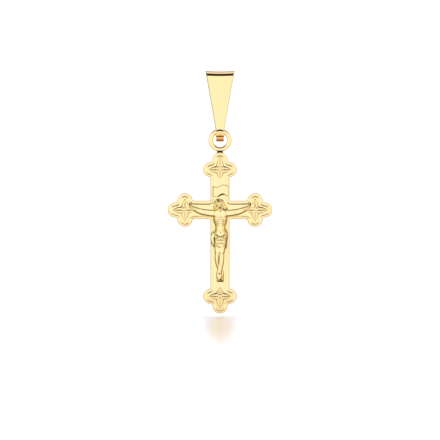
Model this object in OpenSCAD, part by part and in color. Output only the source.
// Budded crucifix pendant on a folded, tapered bail.
// Millimetres, +Z up, front towards -Y. The origin is the chain's seat: the inner top of the bail's fold.

/* [Bail] */
// Length from the chain's seat to the ring's axis
bail_l = 8.12; // [6.5:0.1:11]
// Width of the strip over the top fold
bail_top_w = 4.1; // [3:0.1:5]
// Thickness of the sheet
sheet_t = 0.28; // [0.2:0.02:0.36]
// Length of the back strap's end below the ring's axis
tongue_l = 1.5; // [1.1:0.05:1.7]
// How much narrower each side of that end is than the hook
tongue_inset = 0.06; // [0:0.01:0.1]
// Play between the ring's wire and the bends that it hangs in
wire_play = 0.27; // [0.22:0.01:0.32]
// Play at each side between the hook and the ring's hole
side_play = 0.08; // [0.06:0.01:0.15]

/* [Ring] */
// Outer diameter of the soldered ring
ring_d = 3.26; // [3.1:0.05:4]
// Thickness of the ring's wire
ring_wire = 0.66; // [0.5:0.02:0.7]
// Diameter of the solder between the ring and the top bud
solder_d = 0.8; // [0.5:0.05:1]
// Height of the solder seam that shows under the ring
solder_h = 0.05; // [0:0.01:0.2]

/* [Cross] */
// Height over the top and bottom buds
cross_h = 22.61; // [18:0.1:30]
// Width over the side buds
cross_w = 14.66; // [12:0.1:20]
// Distance from the top down to the crossbar's middle
arm_drop = 8.09; // [7.5:0.05:9.5]
// Width of the upright
bar_w = 2.7; // [2.2:0.05:3.2]
// Width of the crossbar
crossbar_w = 2.64; // [2.2:0.05:3.2]
// Thickness of the cross body
cross_t = 1.2; // [0.9:0.05:1.8]
// Radius of the rounded front edge
edge_r = 0.5; // [0.2:0.05:0.6]
// Size of the eased back edge
back_ease = 0.14; // [0.05:0.01:0.25]
// How far the middle of the body lies behind the ring's plane, so that it hangs plumb
set_back = 0.1; // [0:0.01:0.2]

/* [Budded ends] */
// Width over the two side buds of an end
end_w = 4.74; // [4.2:0.05:5.4]
// Distance from an end's middle to its tip
end_reach = 2.43; // [2.2:0.05:2.8]
// Diameter of a bud
bud_d = 2.14; // [1.8:0.05:2.4]
// Diameter of the round field between the buds
field_d = 3.24; // [2.8:0.05:3.6]

/* [Leaves] */
// Length of a leaf from the end's middle
leaf_l = 1.62; // [1.2:0.02:1.7]
// Width of a leaf
leaf_w = 0.78; // [0.5:0.02:0.9]
// Height of a leaf above the field
leaf_t = 0.2; // [0.1:0.01:0.35]
// Diameter of the boss between the leaves
boss_d = 0.5; // [0.3:0.02:0.7]

/* [Scroll] */
// Width of the scroll
scroll_w = 2.15; // [1.6:0.05:2.5]
// Height of the scroll
scroll_h = 1.3; // [0.9:0.05:1.6]
// Height of the scroll above the upright
scroll_t = 0.2; // [0.1:0.01:0.35]
// Rise and fall of its waved edges
scroll_wave = 0.17; // [0:0.01:0.25]
// Height of its middle above the crossbar's middle
scroll_up = 2.73; // [2.5:0.02:3.2]

/* [Figure] */
// Height of the figure, crown to toes
figure_h = 11.65; // [10:0.05:13]
// Width of the chest
figure_w = 1.8; // [1.5:0.05:2.1]
// Height of the chest above the cross body
figure_t = 0.92; // [0.6:0.02:1.2]
// Height of the crown of the head above the crossbar's middle
figure_up = 1.62; // [1.4:0.02:1.8]
// Rise of the hands above the shoulders
arm_rise = 0.84; // [0.4:0.02:1.2]
// Height of the head, chin to crown
head_h = 1.5; // [1.2:0.02:1.7]
// Width of the face
head_w = 0.98; // [0.8:0.02:1.2]
// Height of the face above the cross body
head_t = 1.12; // [0.8:0.02:1.3]
// Lean of the head
head_lean = 13; // [0:1:25]

/* [Hidden] */

GOLD = [0.96, 0.86, 0.56];
$fn = 48;

// The ring, and the bends that follow its wire
ring_r = (ring_d - ring_wire) / 2;
hole_r = ring_d / 2 - ring_wire;
bend_r = ring_wire / 2 + wire_play;
axis_z = -bail_l;
// Width that passes the ring's hole where the bend begins
hook_w = 2 * (sqrt(pow(hole_r, 2) - pow(ring_r - bend_r, 2)) - side_play);
hook_low = axis_z - bend_r - sheet_t;

// The cross, drawn upright in its own plane: x to the right, y up, z towards the front, its back at z = 0
top_y = axis_z - 2 * ring_r - ring_wire / 2 - solder_h;
arm_y = top_y - arm_drop;
foot_y = top_y - cross_h;
end_x = cross_w / 2 - end_reach;
top_end_y = top_y - end_reach;
foot_end_y = foot_y + end_reach;
back_y = cross_t / 2 + set_back;

// How deep the relief is rooted in the body
root = 0.25;
crown_y = arm_y + figure_up;

// Shares of the scroll's width: left of the upright's middle, and where its edges rise highest
scroll_left = 0.45;
scroll_crest = 0.7;

// A leaf's outline and crease: shares of its length, width and height
leaf_rows = [
    // along, width, flank, crease
    [0.06, 0.16, 0.80, 0.70],
    [0.30, 0.82, 1.00, 0.55],
    [0.52, 1.00, 0.95, 0.45],
    [0.76, 0.66, 0.75, 0.40],
    [1.00, 0.05, 0.25, 0.20],
];

// Sections of the figure. down is a share of figure_h from the crown, side and width are shares of figure_w,
// and relief is a share of figure_t.
torso_rows = [
    // down, side, width, relief
    [0.120, -0.02, 0.34, 0.72],
    [0.148, 0.01, 0.52, 0.76],
    [0.166, 0.03, 0.98, 0.80],
    [0.192, 0.03, 1.08, 0.92],
    [0.226, 0.02, 1.04, 1.00],
    [0.272, 0.03, 0.92, 0.96],
    [0.324, 0.04, 0.77, 0.84],
    [0.371, 0.05, 0.80, 0.88],
    [0.414, 0.07, 0.88, 0.93],
    [0.540, 0.05, 0.84, 0.90],
];
near_leg_rows = [
    [0.480, 0.22, 0.48, 0.92],
    [0.568, 0.21, 0.47, 1.00],
    [0.650, 0.14, 0.45, 1.10],
    [0.704, 0.11, 0.39, 0.94],
    [0.764, 0.07, 0.33, 0.80],
    [0.824, 0.02, 0.26, 0.64],
    [0.868, 0.01, 0.29, 0.68],
    [0.920, 0.00, 0.31, 0.72],
    [0.970, -0.01, 0.31, 0.58],
    [1.000, -0.01, 0.26, 0.34],
];
far_leg_rows = [
    [0.480, -0.17, 0.44, 0.88],
    [0.568, -0.18, 0.42, 0.94],
    [0.648, -0.19, 0.37, 1.00],
    [0.704, -0.18, 0.34, 0.84],
    [0.764, -0.13, 0.29, 0.70],
    [0.824, -0.05, 0.24, 0.54],
    [0.875, 0.07, 0.23, 0.50],
    [0.920, 0.13, 0.25, 0.52],
    [0.962, 0.16, 0.22, 0.44],
    [0.988, 0.15, 0.19, 0.28],
];
cloth_rows = [
    [0.385, 0.06, 0.86, 0.95],
    [0.422, 0.09, 1.00, 1.02],
    [0.480, 0.07, 0.98, 1.04],
    [0.550, 0.05, 0.92, 1.06],
    [0.592, 0.03, 0.84, 1.00],
];
cloth_end_rows = [
    [0.392, -0.52, 0.26, 0.52],
    [0.455, -0.57, 0.28, 0.50],
    [0.515, -0.56, 0.25, 0.46],
    [0.560, -0.46, 0.22, 0.42],
    [0.592, -0.35, 0.16, 0.34],
];
knot_rows = [
    [0.420, 0.05, 0.66, 1.08],
    [0.442, 0.05, 0.52, 1.24],
    [0.470, 0.05, 0.26, 1.24],
    [0.508, 0.05, 0.12, 1.10],
];
left_lock_rows = [
    [0.060, -0.35, 0.19, 0.80],
    [0.100, -0.40, 0.20, 0.72],
    [0.128, -0.38, 0.16, 0.72],
    [0.150, -0.31, 0.09, 0.78],
];
right_lock_rows = [
    [0.050, 0.17, 0.20, 0.86],
    [0.092, 0.24, 0.21, 0.80],
    [0.128, 0.33, 0.19, 0.82],
    [0.158, 0.44, 0.14, 0.90],
    [0.172, 0.50, 0.07, 0.86],
];
// An arm from the chest to the fingertips: shares of end_x, arm_rise, figure_w and figure_t
arm_rows = [
    // out, rise, width, relief
    [0.09, -0.02, 0.42, 0.70],
    [0.20, 0.00, 0.44, 0.80],
    [0.33, 0.05, 0.38, 0.68],
    [0.49, 0.14, 0.33, 0.56],
    [0.61, 0.29, 0.34, 0.56],
    [0.71, 0.48, 0.31, 0.52],
    [0.79, 0.64, 0.25, 0.45],
    [0.85, 0.76, 0.36, 0.46],
    [0.92, 0.86, 0.39, 0.42],
    [0.98, 0.96, 0.29, 0.34],
    [1.02, 1.00, 0.16, 0.24],
];
// The head and the hair behind it: shares of head_h, head_w and head_t
head_rows = [
    // down, width, relief, nose
    [0.00, 0.30, 0.62, 0.00],
    [0.09, 0.70, 0.84, 0.00],
    [0.26, 0.95, 0.95, 0.00],
    [0.44, 1.00, 0.97, 0.00],
    [0.52, 0.98, 0.93, 0.03],
    [0.68, 0.92, 0.94, 0.11],
    [0.74, 0.88, 0.94, 0.01],
    [0.86, 0.72, 0.92, 0.00],
    [0.95, 0.52, 0.86, 0.00],
    [1.04, 0.24, 0.72, 0.00],
];
hair_rows = [
    [-0.06, 0.46, 0.62, 0.00],
    [0.04, 0.98, 0.86, 0.00],
    [0.20, 1.28, 0.92, 0.00],
    [0.45, 1.40, 0.76, 0.00],
    [0.75, 1.36, 0.58, 0.00],
    [1.00, 1.10, 0.50, 0.00],
];

// Closed body through sections of equal point counts, each turning right-handed about the way the body grows
module loft(rings) {
    n = len(rings[0]);
    last = len(rings) - 1;
    polyhedron(
        points = [for (ring = rings) each ring],
        faces = concat(
            [[for (i = [0 : n - 1]) i]],
            [for (j = [0 : last - 1], i = [0 : n - 1]) let (k = (i + 1) % n)
                [j * n + i, (j + 1) * n + k, j * n + k]],
            [for (j = [0 : last - 1], i = [0 : n - 1]) let (k = (i + 1) % n)
                [j * n + i, (j + 1) * n + i, (j + 1) * n + k]],
            [[for (i = [n - 1 : -1 : 0]) last * n + i]]
        )
    );
}

// Half-round section: across and out of the face, with its back rooted in the body. peak lifts the front point.
function half_round(width, relief, sides, peak = 0, pleat = 0) = [
    for (i = [0 : sides - 1]) let (
        a = 360 * i / sides,
        front = sin(a) > 0.01,
        swell = front ? 1 + pleat * cos(180 * i) : 1,
        nose = abs(sin(a) - 1) < 0.001 ? peak : 0
    ) [width / 2 * cos(a), front ? sin(a) * relief * swell + nose : sin(a) * root]
];

// A part of the figure that runs downwards
module hanging(rows, sides, pleat = 0) {
    loft([
        for (row = rows) [
            for (p = half_round(row[2] * figure_w, row[3] * figure_t, sides, 0, pleat))
                [row[1] * figure_w + p[0], crown_y - row[0] * figure_h, cross_t + p[1]]
        ]
    ]);
}

// Cross body

// Section of half a bar: rounded in front, eased behind
module edge_section(half) {
    square([half - edge_r, cross_t]);
    translate([0, back_ease]) square([half, cross_t - edge_r - back_ease]);
    translate([half - edge_r, cross_t - edge_r]) circle(edge_r);
    polygon([[0, 0], [half - back_ease, 0], [half, back_ease], [0, back_ease]]);
}

// Bar of the cross from y = 0 downwards
module bar(width, length) {
    rotate([90, 0, 0]) linear_extrude(length) {
        edge_section(width / 2);
        mirror([1, 0]) edge_section(width / 2);
    }
}

module round_field(d) {
    rotate_extrude() intersection() {
        edge_section(d / 2);
        square([d, 2 * cross_t]);
    }
}

// Budded end that points along +y
module budded_end() {
    round_field(field_d);
    for (side = [-1, 1]) translate([side * (end_w - bud_d) / 2, 0]) round_field(bud_d);
    translate([0, end_reach - bud_d / 2]) round_field(bud_d);
}

module cross_body() {
    translate([0, top_end_y]) bar(bar_w, top_end_y - foot_end_y);
    translate([-end_x, arm_y]) rotate(90) bar(crossbar_w, 2 * end_x);
    translate([0, top_end_y]) budded_end();
    translate([0, foot_end_y]) rotate(180) budded_end();
    for (side = [-1, 1]) translate([side * end_x, arm_y]) rotate(-90 * side) budded_end();
}

// Leaves, four in each end round a boss

module leaf() {
    loft([
        for (row = leaf_rows) let (
            x = row[0] * leaf_l,
            w = row[1] * leaf_w / 2,
            flank = row[2] * leaf_t,
            crease = row[3] * leaf_t
        ) [
            [x, -w, -root], [x, w, -root], [x, w, 0.3 * flank], [x, w / 2, flank],
            [x, 0, crease], [x, -w / 2, flank], [x, -w, 0.3 * flank]
        ]
    ]);
}

module leaf_spray() {
    translate([0, 0, cross_t]) {
        for (turn = [0 : 90 : 270]) rotate(turn) leaf();
        translate([0, 0, -root]) cylinder(h = root + leaf_t, d1 = boss_d + root, d2 = boss_d / 2);
    }
}

module leaf_sprays() {
    translate([0, top_end_y]) leaf_spray();
    translate([0, foot_end_y]) leaf_spray();
    for (side = [-1, 1]) translate([side * end_x, arm_y]) leaf_spray();
}

// Scroll over the head

function scroll_point(t, up) = [(t - scroll_left) * scroll_w, up + scroll_wave * cos(360 * (t - scroll_crest))];

module scroll() {
    steps = 12;
    translate([0, arm_y + scroll_up, cross_t - root]) linear_extrude(root + scroll_t) polygon(concat(
        [for (i = [0 : steps]) scroll_point(i / steps, -scroll_h / 2)],
        [for (i = [steps : -1 : 0]) scroll_point(i / steps, scroll_h / 2)]
    ));
}

// Figure

module torso() hanging(torso_rows, 16);

module legs() {
    hanging(far_leg_rows, 10);
    hanging(near_leg_rows, 12);
}

module loincloth() {
    hanging(cloth_rows, 24, 0.02);
    hanging(cloth_end_rows, 8, 0.04);
    hanging(knot_rows, 8);
}

// Arm towards +x
module arm() {
    shoulder_y = crown_y - 0.17 * figure_h;
    loft([
        for (row = arm_rows) [
            for (p = half_round(row[2] * figure_w, row[3] * figure_t, 10))
                [row[0] * end_x, shoulder_y + row[1] * arm_rise + p[0], cross_t + p[1]]
        ]
    ]);
}

module arms() {
    arm();
    mirror([1, 0, 0]) arm();
}

// Head and hair, leaning about the throat
module head() {
    throat_y = crown_y - head_h;
    translate([0, throat_y]) rotate(head_lean) {
        for (rows = [head_rows, hair_rows]) loft([
            for (row = rows) [
                for (p = half_round(row[1] * head_w, row[2] * head_t, 16, row[3] * head_t))
                    [p[0], head_h * (1 - row[0]), cross_t + p[1]]
            ]
        ]);
    }
    hanging(left_lock_rows, 8);
    hanging(right_lock_rows, 8);
}

module figure() {
    torso();
    legs();
    loincloth();
    arms();
    head();
}

// Ring, upright on the top bud with its solder

module ring() {
    translate([0, 0, axis_z - ring_r]) rotate([90, 0, 0]) rotate_extrude() translate([ring_r, 0]) circle(d = ring_wire);
    translate([0, 0, top_y - bud_d / 4]) cylinder(h = bud_d / 4 + solder_h + ring_wire / 2, d = solder_d);
}

// Bail

// Half-round bend of the sheet over the top, the axis along x at the origin
module bend() {
    rotate([0, -90, 0]) rotate([0, 0, -90]) rotate_extrude(angle = 180)
        translate([bend_r, -bail_top_w]) square([sheet_t, 2 * bail_top_w]);
}

module strip() {
    translate([0, 0, -bend_r]) bend();
    translate([0, 0, axis_z]) mirror([0, 0, 1]) bend();
    translate([-bail_top_w, -bend_r - sheet_t, axis_z]) cube([2 * bail_top_w, sheet_t, bail_l - bend_r]);
    translate([-bail_top_w, bend_r, axis_z - tongue_l]) cube([2 * bail_top_w, sheet_t, bail_l - bend_r + tongue_l]);
}

// Front outline of the strip, cut right through
module strip_outline() {
    taper = (bail_top_w - hook_w) / 2 / (sheet_t - axis_z);
    over = bail_top_w / 2 + taper * sheet_t;
    hook = hook_w / 2;
    tongue = hook - tongue_inset;
    rotate([90, 0, 0]) translate([0, 0, -bail_top_w]) linear_extrude(2 * bail_top_w) polygon([
        [-over, 2 * sheet_t], [over, 2 * sheet_t], [hook, axis_z], [hook, hook_low], [tongue, hook_low],
        [tongue, axis_z - 2 * tongue_l], [-tongue, axis_z - 2 * tongue_l], [-tongue, hook_low],
        [-hook, hook_low], [-hook, axis_z]
    ]);
}

module bail() color(GOLD) intersection() {
    strip();
    strip_outline();
}

module crucifix() color(GOLD) {
    translate([0, back_y, 0]) rotate([90, 0, 0]) {
        cross_body();
        leaf_sprays();
        scroll();
        figure();
    }
    ring();
}

bail();
crucifix();
